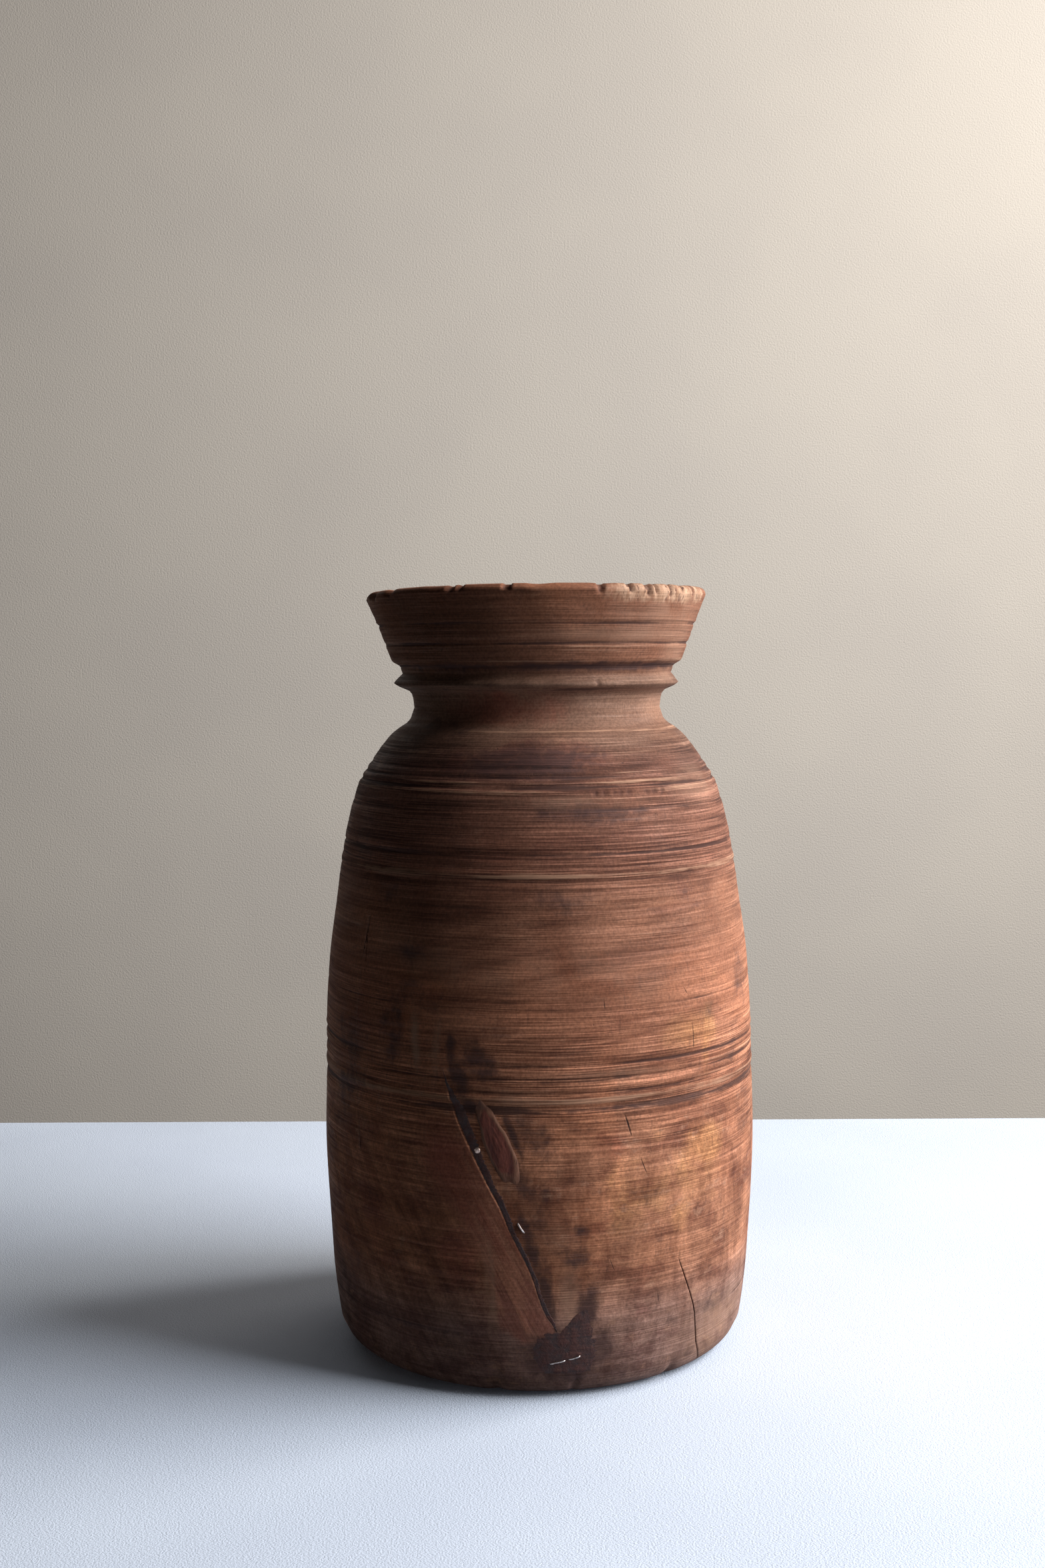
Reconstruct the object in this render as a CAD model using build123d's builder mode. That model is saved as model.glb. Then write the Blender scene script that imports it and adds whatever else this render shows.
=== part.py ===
from build123d import *
import os
from math import cos, radians, sin

# Lathe-turned wooden storage pot with a flared mouth, a beaded neck, a tall belly and a rounded foot.
# Frame: origin at the centre of the foot, +Z up, -Y is the side with the filled split, +X is its right.
# Lengths in millimetres, angles in degrees about Z, counted from -Y towards +X.

# ---- driving dimensions of the turned form: outer radius and height ----
total_height = 300.0
foot_contact_r, foot_r, foot_round = 70.0, 82.0, 13.0
neck_r, neck_z = 48.9, 254.5
bead_foot_r, bead_foot_z = 50.6, 259.8
bead_r, bead_z = 56.8, 263.6
notch_r, notch_z = 53.4, 267.0
rim_r, rim_round = 67.6, 2.6
groove_depth = 0.7

# The wall from the foot to the collar, then the flare from its lip up, as (radius, height) stations.
# A groove is turned between the end of each stretch and the start of the next.
wall_stretches = [
    [(foot_r, foot_round), (84.7, 42.0), (86.4, 84.0), (85.9, 108.5)],
    [(85.9, 110.5), (85.7, 115.5)],
    [(85.7, 117.5), (85.6, 120.0)],
    [(85.6, 122.0), (85.4, 125.0)],
    [(85.4, 127.0), (83.2, 160.0), (78.8, 191.0)],
    [(78.6, 193.0), (77.1, 200.5)],
    [(76.8, 202.5), (73.2, 217.5), (70.7, 224.0)],
    [(70.0, 226.0), (64.4, 234.5), (55.2, 245.0)],
]
flare_stretches = [
    [(57.4, 271.6), (59.4, 277.0)],
    [(60.1, 279.0), (62.3, 285.0)],
    [(63.0, 287.0), (rim_r, total_height - rim_round)],
]

# ---- the hollow ----
floor_thickness = 17.0
floor_corner_r = 16.0
belly_wall = 10.0
throat_r, throat_z = 39.0, 256.0
rim_wall = 6.4

# ---- the filled split: reach from the axis of its bottom, and its route over the front ----
split_bottom_r = 79.0
# height: (position across the front, half width)
split_route = {
    121.0: (-34.2, 0.8),
    107.0: (-27.9, 3.1),
    94.0: (-22.4, 2.7),
    78.0: (-15.1, 2.2),
    64.0: (-9.3, 1.8),
    47.0: (-1.6, 1.3),
    33.0: (3.4, 1.3),
    22.0: (7.0, 3.0),
}
blot_outline = [
    (-4.5, 11.0), (-6.0, 19.0), (1.5, 24.5), (7.5, 28.0), (15.0, 31.5), (20.5, 36.0),
    (22.5, 28.0), (25.0, 18.0), (21.0, 10.5), (9.0, 9.0),
]

# ---- the knot ----
knot_angle, knot_height = -10.6, 97.5
knot_half_width, knot_half_length = 5.2, 18.5
knot_lean = 24.0
knot_gap = 1.0

# ---- wire and nail ----
wire_r = 0.4
wire_bend_r = 0.8
leg_depth = 5.0
crown_sink = 0.9
nail_head_r, nail_head_rise, nail_shank_r, nail_length = 1.2, 0.5, 0.5, 6.0
nail_angle, nail_height = -15.1, 94.5

os.makedirs("parts", exist_ok=True)


def outward(angle):
    """Unit direction pointing out of the pot at this angle."""
    return Vector(sin(radians(angle)), -cos(radians(angle)), 0)


def at(angle, height, radius):
    """Point at this angle and height, this far from the axis."""
    return outward(angle) * radius + Vector(0, 0, height)


def facing(angle, height, radius):
    """Plane that looks out of the pot, with its own x to the right and y up."""
    right = Vector(cos(radians(angle)), sin(radians(angle)), 0)
    return Plane(origin=at(angle, height, radius), x_dir=right, z_dir=outward(angle))


def turned(stretches):
    """Draw the stretches of a turned wall, with a groove between each two."""
    for stretch in stretches:
        if len(stretch) == 2:
            Line(*stretch)
        else:
            Spline(*stretch)
    for below, above in zip(stretches, stretches[1:]):
        start, end = Vector(*below[-1]), Vector(*above[0])
        ThreePointArc(start, (start + end) / 2 - Vector(groove_depth, 0), end)


# ---- turned blank: the whole form with its hollow, before the repair ----
rim_shoulder = total_height - rim_round
rim_inner_r = rim_r - rim_wall
shoulder_r, shoulder_z = wall_stretches[5][0]
upper_r, upper_z = wall_stretches[-1][0]
belly_r, belly_z = wall_stretches[0][2]
inner_foot_r, inner_foot_z = foot_r - belly_wall, floor_thickness + floor_corner_r
with BuildPart() as blank:
    with BuildSketch(Plane.XZ):
        with BuildLine():
            Line((0, 0), (foot_contact_r, 0))
            EllipticalCenterArc(
                (foot_contact_r, foot_round), foot_r - foot_contact_r, foot_round,
                start_angle=270, arc_size=90,
            )
            turned(wall_stretches)
            ThreePointArc(wall_stretches[-1][-1], (neck_r, neck_z), (bead_foot_r, bead_foot_z))
            Polyline(
                (bead_foot_r, bead_foot_z), (bead_r, bead_z), (notch_r, notch_z), flare_stretches[0][0],
            )
            turned(flare_stretches)
            ThreePointArc(
                (rim_r, rim_shoulder), (rim_r - rim_wall / 2, total_height), (rim_inner_r, rim_shoulder),
            )
            Spline(
                (rim_inner_r, rim_shoulder), (throat_r + 5, throat_z + 18), (throat_r, throat_z - 3),
                (upper_r - belly_wall - 2.5, upper_z), (shoulder_r - belly_wall - 1, shoulder_z),
                (belly_r - belly_wall, belly_z), (inner_foot_r, inner_foot_z),
            )
            RadiusArc(
                (inner_foot_r, inner_foot_z), (inner_foot_r - floor_corner_r, floor_thickness), floor_corner_r,
            )
            Polyline((inner_foot_r - floor_corner_r, floor_thickness), (0, floor_thickness), (0, 0))
        make_face()
    revolve(axis=Axis.Z)

# ---- knot: an encased branch knot, a leaning oval peg of darker wood ----
knot_plane = facing(knot_angle, knot_height, split_bottom_r - 3)
with BuildPart() as knot_plug:
    with BuildSketch(knot_plane):
        Ellipse(knot_half_width, knot_half_length, rotation=knot_lean)
    extrude(amount=20)
    add(blank.part, mode=Mode.INTERSECT)
    Cylinder(split_bottom_r, total_height, align=(Align.CENTER, Align.CENTER, Align.MIN), mode=Mode.SUBTRACT)

# ---- foot staple and seam staple: round wire, two legs in the wall and a crown on it ----
staple_ends = {
    "foot_staple": [(2.6, 14.6, 82.2), (6.9, 15.4, 82.3 - crown_sink), (10.1, 16.8, 82.5)],
    "seam_staple": [(-5.5, 68.4, 85.9), (-4.6, 66.3, 85.9), (-3.6, 64.2, 85.9)],
}


def staple(left, middle, right):
    """Wire swept along: leg out of the wall, crown over the middle point, leg back into the wall."""
    start = at(left[0], left[1], left[2] - leg_depth)
    end = at(right[0], right[1], right[2] - leg_depth)
    corners = [start, at(*left), at(*middle), at(*right), end]
    with BuildPart() as wire:
        with BuildLine() as path:
            FilletPolyline(*corners, radius=wire_bend_r)
        with BuildSketch(Plane(origin=start, z_dir=path.line % 0)):
            Circle(wire_r)
        sweep()
    return wire.part


with BuildPart() as foot_staple:
    add(staple(*staple_ends["foot_staple"]))

with BuildPart() as seam_staple:
    add(staple(*staple_ends["seam_staple"]))

# ---- seam nail: a small round-headed nail driven into the filler ----
nail_seat = facing(nail_angle, nail_height, 86.0)
with BuildPart() as seam_nail:
    with BuildSketch(nail_seat):
        Circle(nail_head_r)
    extrude(amount=nail_head_rise)
    fillet(seam_nail.faces().sort_by(Axis(nail_seat.origin, nail_seat.z_dir))[-1].edges(), nail_head_rise * 0.9)
    with BuildSketch(nail_seat):
        Circle(nail_shank_r)
    extrude(amount=-nail_length)

# ---- split filler: dark pitch in the split, round the knot and in a blot at the foot ----
front = Plane.XZ.offset(split_bottom_r - 12)
with BuildPart() as split_pitch:
    with BuildSketch(front):
        with BuildLine():
            left_edge = [(x - half, z) for z, (x, half) in split_route.items()]
            right_edge = [(x + half, z) for z, (x, half) in split_route.items()]
            Spline(*left_edge)
            Line(left_edge[-1], right_edge[-1])
            Spline(*right_edge)
            Line(left_edge[0], right_edge[0])
        make_face()
        with BuildLine():
            Spline(*blot_outline, periodic=True)
        make_face()
    extrude(amount=30)
    with BuildSketch(knot_plane):
        Ellipse(knot_half_width + knot_gap, knot_half_length + knot_gap, rotation=knot_lean)
    extrude(amount=20)
    add(blank.part, mode=Mode.INTERSECT)
    Cylinder(split_bottom_r, total_height, align=(Align.CENTER, Align.CENTER, Align.MIN), mode=Mode.SUBTRACT)
    for piece in (knot_plug, foot_staple, seam_staple, seam_nail):
        add(piece.part, mode=Mode.SUBTRACT)

# ---- turned body: the blank with the pockets for the filler, the knot, the wires and the nail ----
with BuildPart() as turned_body:
    add(blank.part)
    for piece in (split_pitch, knot_plug, foot_staple, seam_staple, seam_nail):
        add(piece.part, mode=Mode.SUBTRACT)

pieces = {
    "turned_body": turned_body,
    "split_pitch": split_pitch,
    "knot_plug": knot_plug,
    "foot_staple": foot_staple,
    "seam_staple": seam_staple,
    "seam_nail": seam_nail,
}
for name, piece in pieces.items():
    piece.part.label = name
    export_step(piece.part, f"parts/{name}.step")
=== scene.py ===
"""A worn lathe-turned wooden pot, with a split filled with pitch, a branch knot, two wire staples and a nail.

Lists are in millimetres and in degrees round the turning axis, counted from the front (-Y)
towards the right (+X). Blender objects are in metres.
"""

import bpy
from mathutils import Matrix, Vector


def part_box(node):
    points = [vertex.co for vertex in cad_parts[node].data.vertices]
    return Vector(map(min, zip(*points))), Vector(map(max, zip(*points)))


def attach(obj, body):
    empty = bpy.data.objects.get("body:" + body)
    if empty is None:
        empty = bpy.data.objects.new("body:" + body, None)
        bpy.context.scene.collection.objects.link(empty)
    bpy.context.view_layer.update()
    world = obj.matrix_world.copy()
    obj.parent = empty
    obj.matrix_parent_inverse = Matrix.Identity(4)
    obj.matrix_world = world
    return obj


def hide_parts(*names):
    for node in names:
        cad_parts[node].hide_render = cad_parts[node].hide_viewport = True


bl_info = {
    "name": "Turned wooden pot",
    "version": (1, 0, 0),
    "blender": (4, 5, 0),
    "location": "3D View > Sidebar > Pot",
    "description": "Builds a worn lathe-turned wooden pot with a filled split, a knot and wire staples",
    "category": "Add Mesh",
}

from math import cos, degrees, radians, sin

import bpy
import numpy as np
from mathutils import Vector

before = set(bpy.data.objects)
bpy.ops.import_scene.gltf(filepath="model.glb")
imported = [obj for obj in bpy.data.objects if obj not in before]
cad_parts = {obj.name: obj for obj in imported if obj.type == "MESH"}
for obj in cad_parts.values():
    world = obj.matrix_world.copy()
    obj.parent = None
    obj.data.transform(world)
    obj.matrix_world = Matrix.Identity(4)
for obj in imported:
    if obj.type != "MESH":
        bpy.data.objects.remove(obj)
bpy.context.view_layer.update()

MM = 0.001
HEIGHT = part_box("turned_body")[1].z / MM

# ---- the turned form: (height, radius) stations ----
FOOT_CONTACT, FOOT_ROUND = 70.0, 13.0
BELLY = [
    (13, 82), (27, 83.7), (42, 84.7), (62, 85.8), (84, 86.4), (100, 86.1), (111, 85.75), (125, 85.4),
    (141, 84.7), (160, 83.2), (176, 80.9), (192, 78.6), (205, 76.4), (217.5, 73.3), (224.5, 70.8),
    (229.5, 67.9), (237.5, 62.3), (243, 57.6), (248, 51), (250.8, 49.4), (254.5, 48.9), (258.3, 49.7),
]
# From the foot of the bead to the rim these are joined by straight runs, because the tool left them crisp.
COLLAR = [
    (258.3, 49.7), (259.8, 50.9), (261.3, 54.7), (262.8, 57.1), (263.9, 56.3), (266.7, 53.4), (269.3, 54.5),
    (271.2, 57.1), (272.2, 57.9), (279.8, 60.7), (290.4, 64.8), (297.4, 67.6),
]
RIM_BASE, RIM_RADIUS = COLLAR[-1]
RIM_WALL, RIM_ROUND = 6.4, 2.6
# (height, radius) of the hollow, from the rim down to where the floor's round corner starts.
HOLLOW = [
    (297.4, 61.2), (289, 53.6), (280, 47.3), (270, 42.1), (262, 39.4), (254, 38.9), (247, 40.8), (240, 46),
    (226, 57.5), (210, 64.4), (193, 67.6), (160, 72.1), (120, 75.9), (84, 76.4), (33, 72),
]
FLOOR, FLOOR_CORNER = 17.0, 16.0

# ---- turning marks: (height, half width, depth, strength of its colour); a negative depth is a ridge ----
TURNING_MARKS = [
    (293.9, 0.5, 0.08, 0.2), (289.5, 0.5, 0.08, 0.2), (286.9, 0.6, -0.2, 0.35), (285.7, 0.65, 0.45, 0.8),
    (282.7, 0.6, 0.15, 0.3), (281, 0.5, -0.08, 0.2), (278.3, 0.65, 0.45, 0.85), (276.7, 0.6, -0.15, 0.35),
    # The groove at 269.7 has full colour strength: painted shade in the hollow between the bead and the flare.
    (271.7, 0.5, -0.1, 0.9), (269.7, 0.85, 0.45, 1), (267.2, 0.5, -0.05, 0.4), (264.4, 0.5, -0.05, 0.2),
    (261, 0.8, 0.2, 0.7), (257.8, 0.6, -0.12, 0.35), (246.9, 0.7, 0.15, 0.3), (245.2, 0.6, -0.15, 0.6),
    (243.7, 0.6, 0.12, 0.25), (240.2, 0.5, 0.08, 0.2), (237.6, 0.5, -0.12, 0.35), (236, 0.5, 0.1, 0.25),
    (232, 0.8, 0.35, 0.5), (230.3, 0.5, -0.12, 0.3), (228.8, 0.7, 0.45, 0.85), (227, 0.7, -0.25, 0.55),
    (225.5, 0.9, 0.6, 1), (223.8, 0.8, -0.3, 0.6), (221.1, 0.5, -0.12, 0.3), (217.1, 0.8, 0.3, 0.6),
    (213.9, 0.5, -0.1, 0.25), (210.8, 0.5, 0.1, 0.25), (208.3, 0.5, 0.12, 0.25), (204.3, 0.5, -0.12, 0.3),
    (202.4, 0.5, -0.12, 0.3), (201.3, 0.9, 0.5, 0.8), (196.5, 0.7, 0.25, 0.45), (193.8, 1.2, -0.25, 0.9),
    (191.9, 0.7, 0.25, 0.35), (187.9, 0.5, 0.1, 0.25), (186.2, 0.5, -0.12, 0.3), (182.3, 0.5, 0.12, 0.3),
    (175.6, 0.5, 0.08, 0.25), (171.8, 0.5, -0.06, 0.2), (148.6, 0.5, 0.1, 0.3), (145.8, 0.7, 0.2, 0.4),
    (127.7, 0.6, -0.15, 0.25), (125.5, 0.9, 0.45, 0.75), (123.9, 0.6, -0.15, 0.35),
    (121.7, 0.5, -0.12, 0.3), (120.2, 0.9, 0.45, 0.7), (117, 0.7, -0.12, 0.25), (115.5, 0.8, 0.35, 0.5),
    (112.9, 1.3, -0.35, 0.8), (109.4, 1.5, 0.5, 1), (104.2, 0.5, -0.06, 0.2), (96.3, 0.5, 0.1, 0.3),
    (83.5, 0.5, 0.1, 0.3), (24.3, 0.7, 0.15, 0.6),
]
# A mark at least this deep gets five rows of the mesh across it, and a shallower one three.
DEEP_MARK = 0.2
BODY_ROW_STEP, MARK_GRID = 4.0, 0.35

# ---- the split's left lip: (height, angle), and (height, half width) of the pitch beside it ----
SPLIT = [
    (124, -24.4), (117, -23.5), (106, -21), (96.5, -17.9), (89, -15.3), (83, -13.3), (72.5, -9.6),
    (65, -7.6), (57, -4.9), (47, -1.9), (40.5, -0.6), (33, 1.4), (27, 4.2),
]
SPLIT_WIDTH = [
    (124, 0.5), (117, 1.3), (112, 2.3), (106, 2.9), (95, 2.5), (85, 2), (72.5, 1.7), (65, 1.4), (50, 1.15),
    (40, 1.05), (33, 1.2), (27, 1.8),
]
# Left border of the smooth tongue of wood beside the split: (height, angle).
TONGUE = [
    (108, -32), (96, -30.5), (80, -25.5), (61, -16.5), (47, -12.6), (36.5, -10.9), (26, -8.6), (18.8, 2.5),
]
# ---- drying cracks: (height, angle) from the top down, and half width in millimetres ----
MAIN_CRACK = [(49, 37.4), (41.4, 39.8), (32.4, 42.5), (27.6, 43.8), (20.4, 45), (9.9, 47.1), (3, 50.5)]
MAIN_CRACK_HALF = 0.24
MM_PER_DEGREE = 1.45
SMALL_CRACKS = [
    ([(107, 21.3), (102, 22.4), (98.5, 23)], 0.42), ([(90.5, 25.3), (84, 27.1)], 0.22),
    ([(151.5, 39.4), (148, 40.9)], 0.28), ([(149.6, 16.3), (145.8, 16.5)], 0.22),
    ([(138, 42), (132, 42.4), (127.5, 42.2)], 0.2), ([(54, 17.3), (49, 18.6)], 0.2),
    ([(38, 31), (33.5, 31.6)], 0.2), ([(60, 128), (44, 131), (6, 134)], 0.4),
    ([(86, -96), (60, -93), (48, -92)], 0.3), ([(168, 168), (150, 171), (141, 170)], 0.3),
]

# ---- damage: rim notches (angle, half width, height), chips of the shoulder's ridge (angle, half width in
# degrees), dents under the foot (angle, half width in degrees, depth), and the hole in the bead ----
RIM_NOTCHES = [
    (-28.3, 1.2, 1.6), (-24.8, 1, 1.2), (-9.2, 1.6, 1.4), (21, 1.2, 2.4), (31.9, 1.2, 2.4),
    (39.2, 1.4, 3.4), (42.5, 1, 2.6), (49.7, 1.3, 3.6), (56.5, 0.9, 1.8), (64, 1.2, 2.8),
]
SHOULDER_CHIPS = [
    (17.5, 0.8), (20.3, 0.9), (23.6, 0.7), (25.5, 0.8), (28.2, 1.2), (34.8, 0.8), (37.4, 1), (40.6, 0.7),
    (96, 1.3), (99, 0.9), (141, 2), (-120, 1.6),
]
FOOT_DENTS = [(-12.3, 1.6, 1.6), (9.1, 0.9, 1.2), (38.7, 1.5, 1.6), (104, 2.2, 1.8), (-148, 2, 1.6)]
CHIPPED_RIDGE = 223.2
BEAD_TIP = 263.6
BEAD_HOLE = (24.3, 263.4)

# ---- colour patches: (angle, height, half width, half height, lean to the left, strength) ----
STAINS_AND_PAINTED_SHADE = [
    (6, 16.5, 15.8, 11, 0, 1), (11.6, 35, 4.2, 9, -12, 0.95), (-6.2, 20, 6, 8, 0, 0.35),
    (9.2, 54.5, 7, 4.5, 0, 0.85), (4.5, 57, 5, 5, 0, 0.5), (10, 64.8, 3.6, 3.4, 0, 0.95),
    (-1.8, 72, 4, 12, 18, 0.5), (-3.9, 83.5, 3.6, 8, 20, 0.9), (0.5, 50, 4.5, 10, 14, 0.62),
    (1, 79, 3, 3, 0, 0.6), (-3.5, 104, 4.5, 7, 10, 0.55), (0.5, 98.5, 5.5, 8, 0, 0.62),
    (-42.5, 184, 6, 5, 0, 0.5), (-33, 164.5, 9, 3.4, -8, 0.72), (-35, 149, 8, 8, 0, 0.5),
    (-40, 137, 6, 13, 0, 0.7), (-29, 147, 9, 4.5, 0, 0.55), (-22.3, 131, 2.6, 6, 0, 0.95),
    (-29.3, 131, 2.6, 9, 0, 0.35), (-20, 120, 4.6, 9, 12, 0.85), (33, 180, 4.5, 2.2, 0, 0.5),
    (-17.5, 110, 4, 4, 20, 0.9), (24, 109.6, 26, 2.2, 0, 0.4), (30, 36, 8, 3.5, 0, 0.4),
    (24, 27, 7, 4, 0, 0.42), (36, 26, 4, 3, 0, 0.4), (50, 24, 7, 4, 0, 0.35), (-60, 40, 12, 20, 0, 0.3),
    (-110, 92, 9, 14, 10, 0.4), (160, 60, 14, 9, -15, 0.4), (118, 30, 12, 9, 0, 0.4),
    (-150, 150, 8, 12, 20, 0.35), (95, 205, 18, 3, 0, 0.3), (-20, 205, 22, 5, 0, 0.25),
    (12, 232, 20, 5, 0, 0.3), (40, 215, 14, 3, 0, 0.25), (20, 9, 9, 5, 0, 0.5), (43, 8, 7, 4, 0, 0.45),
    (-15.5, 126, 7, 10, 20, 0.72), (-12, 137, 8, 5, 0, 0.4), (-1.9, 58, 3.2, 17, 17, 0.85),
    (1.6, 40, 2.8, 13, 12, 0.95), (16, 21, 5, 8, 0, 0.75), (-2, 33, 3, 4, 0, 0.4),
    # (-50, 245) and (-6, 234) are painted shade on the shoulder under the collar.
    (-50, 245, 28, 7, 0, 0.42), (-6, 234, 28, 7, 0, 0.85), (6, 237, 26, 5, 0, 0.5),
    # (30, 269.5) and (-30, 269.5) are painted shade in the hollow between the bead and the flare.
    (15, 216, 27, 4, 0, 0.66), (30, 269.5, 52, 2, 0, 0.75), (-30, 269.5, 40, 2, 0, 0.5),
    (12, 103, 18, 3.5, 0, 0.42), (62, 103, 12, 5, 0, 0.38), (46, 143, 18, 5, -4, 0.4),
    (48, 121, 24, 2.6, 0, 0.4), (28, 77, 12, 5, 0, 0.3), (31, 56, 14, 5, 0, 0.35), (20, 66, 8, 5, 0, 0.3),
    (-6.4, 100, 1.5, 10, 24, 0.85), (50, 28, 13, 9, 0, 0.42), (-30, 24, 30, 1.6, 0, 0.5),
    (-58, 116, 16, 22, 0, 0.5), (66, 146, 9, 18, 0, 0.42), (65, 98, 9, 10, 0, 0.4),
    # (-6, 252) is painted shade on the front of the neck, under the flare.
    (-6, 252, 11, 6, 0, 0.3), (60, 9, 12, 6, 0, 0.35), (52, 185, 20, 5, 0, 0.35), (5, 184, 20, 5, 0, 0.35),
]
GOLD = [
    (34, 82, 32, 13, 0, 0.5), (42, 134, 15, 8, 0, 0.75), (47, 130, 3, 13, -3, 0.8),
    (54, 153, 16, 4, -6, 0.35), (60, 100, 12, 20, 0, 0.12), (22, 70, 9, 16, 0, 0.45),
    (-30, 155, 16, 4, -12, 0.35), (150, 110, 40, 16, 0, 0.5), (-140, 75, 30, 14, 0, 0.5),
    (-170, 170, 26, 9, 0, 0.4), (100, 150, 30, 9, 0, 0.4), (30, 97, 4, 9, 0, 0.4), (46, 91, 11, 8, 0, 1),
    (38, 66, 5, 7, 0, 0.7), (25, 88, 6, 5, 0, 0.6),
]
PALE_WEAR_AND_PAINTED_LIGHT = [
    (-25, 161.5, 40, 4, -12, 0.35), (15, 158, 30, 8, -6, 0.25), (7.2, 40, 3.4, 11, 4, 0.75),
    (6, 62, 6, 3, 0, 0.5), (13.5, 27, 1.8, 1.5, 0, 0.7), (-0.3, 24.4, 3.6, 2, 0, 0.6),
    (-13, 40, 0.9, 14, 3, 0.6), (57, 16, 20, 14, 0, 0.7), (-32.4, 132, 1.4, 9, 6, 1.6),
    (-26.4, 129, 1.3, 8, -4, 1.6), (-11.8, 43, 0.9, 14, 3, 0.9), (-29.8, 120, 3.5, 2.5, 0, 0.5),
    # (52, 290), (40, 281.5) and (66, 276) are painted light: they brighten the right side of the flared mouth.
    (60, 225, 14, 6, 0, 0.4), (52, 290, 24, 6, 0, 0.5), (40, 281.5, 34, 2.6, 0, 0.6),
    (66, 276, 10, 14, 0, 0.5), (10, 220, 24, 2, 0, 0.5), (-6, 113, 9, 2.2, 0, 0.5),
    (20, 122, 20, 1.2, 0, 0.35), (-9, 79, 5, 1.1, 60, 0.55), (-12.5, 85, 0.8, 6, 27, 0.5),
    (130, 14, 24, 9, 0, 0.5), (-130, 200, 26, 6, 0, 0.35), (170, 240, 30, 7, 0, 0.3),
]
RED = [
    (-24, 92, 9, 12, 20, 0.8), (-22, 55, 10, 12, 10, 0.7), (-16, 254, 30, 7, 0, 0.8),
    (-5, 236, 34, 7, 0, 0.6), (0, 205, 30, 8, 0, 0.4), (-2.5, 32.5, 4, 5, 10, 0.9),
    (-28, 151, 10, 5, 0, 0.5), (17, 96, 10, 8, 0, 0.6), (-46, 60, 16, 16, 30, 0.5),
    (24, 160, 28, 7, -5, 0.4), (-8, 62, 6, 9, 20, 0.4), (40, 187, 26, 5, 0, 0.3),
    (120, 130, 30, 12, 0, 0.4), (-120, 170, 30, 14, 0, 0.4), (-160, 40, 30, 12, 0, 0.4),
]

# ---- colour over the pot's height, as shares of it ----
# How strongly the turning lines show: worn low down, strong round the belly's grooves and the shoulder.
LINE_SHARE = [
    (0, 0.38), (0.24, 0.42), (0.31, 0.6), (0.37, 0.95), (0.43, 0.9), (0.47, 0.58), (0.56, 0.48), (0.61, 0.55),
    (0.65, 0.85), (0.79, 0.8), (0.82, 0.3), (0.87, 0.3), (0.92, 0.38),
]
# Which wood colour holds there, and the factors on its red, green and blue.
ZONES = [
    (0, "foot", 0.95, 0.95, 0.95), (0.08, "foot", 1, 1, 1), (0.17, "belly", 1, 1, 1),
    (0.28, "belly", 1.15, 1.15, 1.15), (0.5, "belly", 1.05, 1, 1), (0.6, "belly", 0.87, 0.88, 0.92),
    # The factor 0.55 at 0.775 darkens the shoulder just under the collar all round: painted shade.
    (0.67, "shoulder", 1, 1, 1), (0.74, "shoulder", 1, 1.05, 1.1), (0.775, "shoulder", 0.55, 0.55, 0.6),
    (0.81, "neck", 0.66, 0.61, 0.6), (0.85, "neck", 1, 1, 1), (0.868, "neck", 0.9, 0.9, 0.9),
    (0.88, "neck", 0.72, 0.72, 0.72), (0.9, "flare", 1, 1, 1), (0.92, "flare", 1, 1, 1),
    (1, "flare", 1.15, 1.1, 1.05),
]

# ---- pitch, knot, wire and nail ----
BLOT_CENTRE = (6.0, 20.0)
# (direction, reach) of the blot's outline.
BLOT = [
    (0, 17.5), (25, 17), (48, 21), (62, 25), (78, 15.5), (100, 9.5), (130, 12), (160, 15.5), (190, 16),
    (215, 17), (240, 15.5), (275, 14.5), (305, 17), (335, 18),
]
BLOT_SKIN, BLOT_SCALE = 0.14, 0.93
KNOT_PLACE, KNOT_HALF, KNOT_LEAN = (-10.4, 97.6), (5.3, 18.4), 24.5
PITCH_BED = 1.16
# (angle, height, height over the wall) along each wire: leg, crown and leg.
FOOT_WIRE = [
    (2.5, 14.3, -4), (2.5, 14.4, 0), (4.2, 14.9, 0.35), (5.9, 15.3, 0.15), (6.8, 15.6, -0.7),
    (7.6, 15.9, 0.15), (8.9, 16.4, 0.35), (10.1, 16.9, 0), (10.2, 17, -4),
]
SEAM_WIRE = [(-5.5, 68.5, -4), (-5.4, 68.3, -0.5), (-4.6, 66.4, 0.4), (-3.7, 64.4, -0.5), (-3.6, 64.2, -4)]
WIRE_SINK = 0.35
NAIL_PLACE = (-15.2, 94.5)
# (height over the wall, radius) of the nail, from the top of its head to its point.
NAIL = [
    (0.62, 0.45), (0.55, 0.8), (0.36, 1.08), (0.1, 1.2), (-0.2, 1.15), (-0.3, 0.5), (-4.5, 0.5), (-6, 0.1),
]

# ---- stage: name, place, target, width and height, watts, colour, spread in degrees ----
LIGHTS = [
    ("window", (1.06, -0.245, 0.78), (0, 0, 0.14), (0.8, 0.8), 24.0, (1.0, 0.97, 0.94), 180),
    ("table_bounce", (0.5, -0.22, 0.012), (0, 0, 0.2), (0.6, 0.5), 1.25, (0.92, 0.96, 1.0), 180),
    ("wall_glow", (1.5, 0.5, 1.5), (0.4, 1.45, 0.6), (0.8, 0.8), 30.0, (1.0, 0.93, 0.84), 180),
    ("back_fill", (-0.6, 1.2, 0.7), (0, 0, 0.16), (0.7, 0.7), 0.18, (1.0, 0.97, 0.94), 80),
    ("left_fill", (-0.35, -0.44, 0.09), (0, 0, 0.05), (0.2, 0.12), 0.011, (1.0, 0.95, 0.9), 60),
]
ROOM_COLOUR, ROOM_STRENGTH = (1.0, 0.94, 0.88, 1.0), 0.015
CAMERA_PLACE, CAMERA_TURN, CAMERA_LENS = (0.0, -0.736, 0.2767), (90 - 4.265, 0.374, 0.428), 41.98


def length_property(name, description, default):
    return bpy.props.FloatProperty(name=name, description=description, default=default, unit="LENGTH")


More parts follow.
